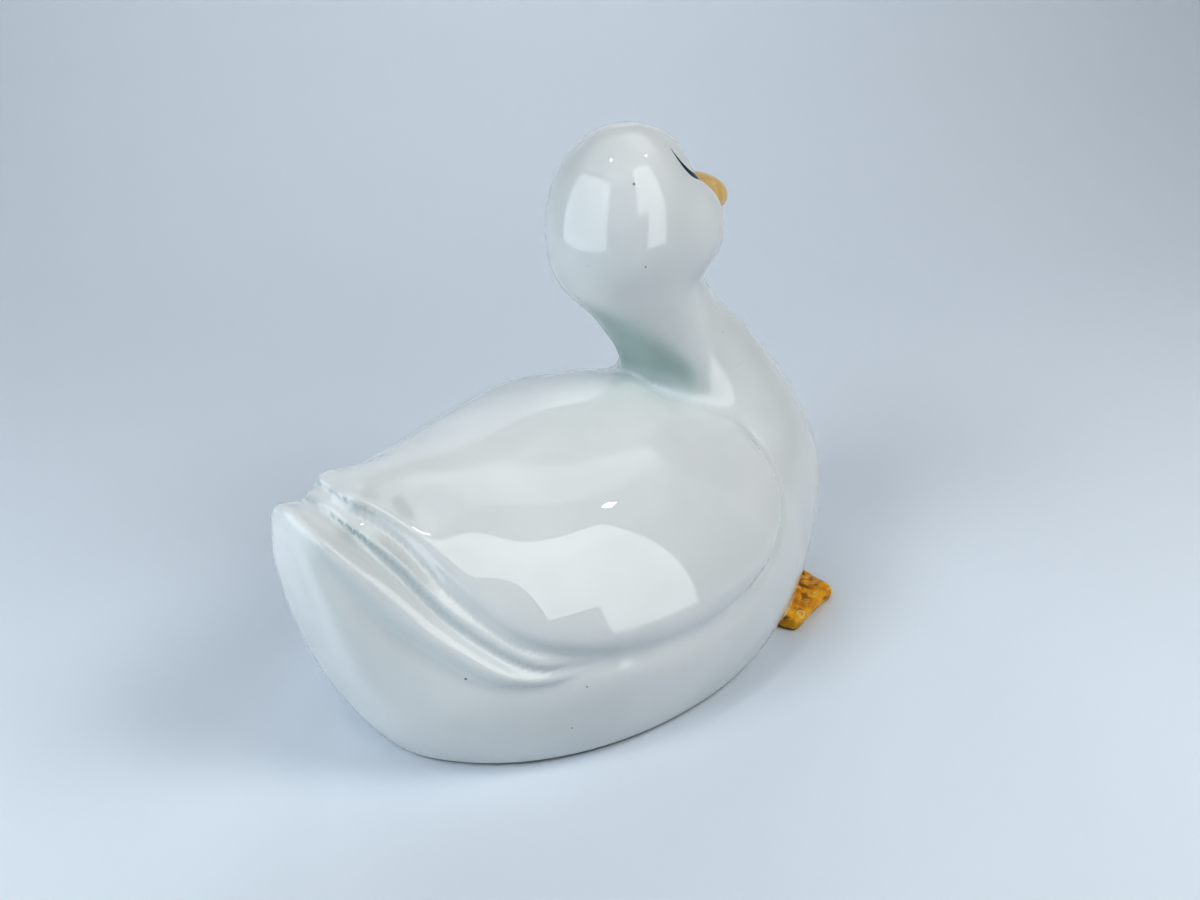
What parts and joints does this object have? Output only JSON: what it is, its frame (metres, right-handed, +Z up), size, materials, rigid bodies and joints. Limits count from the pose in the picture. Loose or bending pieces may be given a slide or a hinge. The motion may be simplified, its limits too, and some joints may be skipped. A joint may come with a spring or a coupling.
{
  "type": "duck figurine",
  "caption": "White glazed ceramic duck with folded wings, neck turned up, closed eyes, short ochre bill and amber webbed feet; it rests on a flat underside.",
  "frame": {"origin": "centre of the flat underside's level, under the middle of the duck's length and width", "axes": "+X forwards from the tail to the breast, +Y to the duck's left, +Z up"},
  "size_m": [0.2454, 0.1546, 0.2007],
  "materials": {
    "glaze": "clear gloss over white; bill and feet glazed ochre and amber"
  },
  "bodies": {
    "root": {"duck": "glaze"}
  },
  "joints": []
}
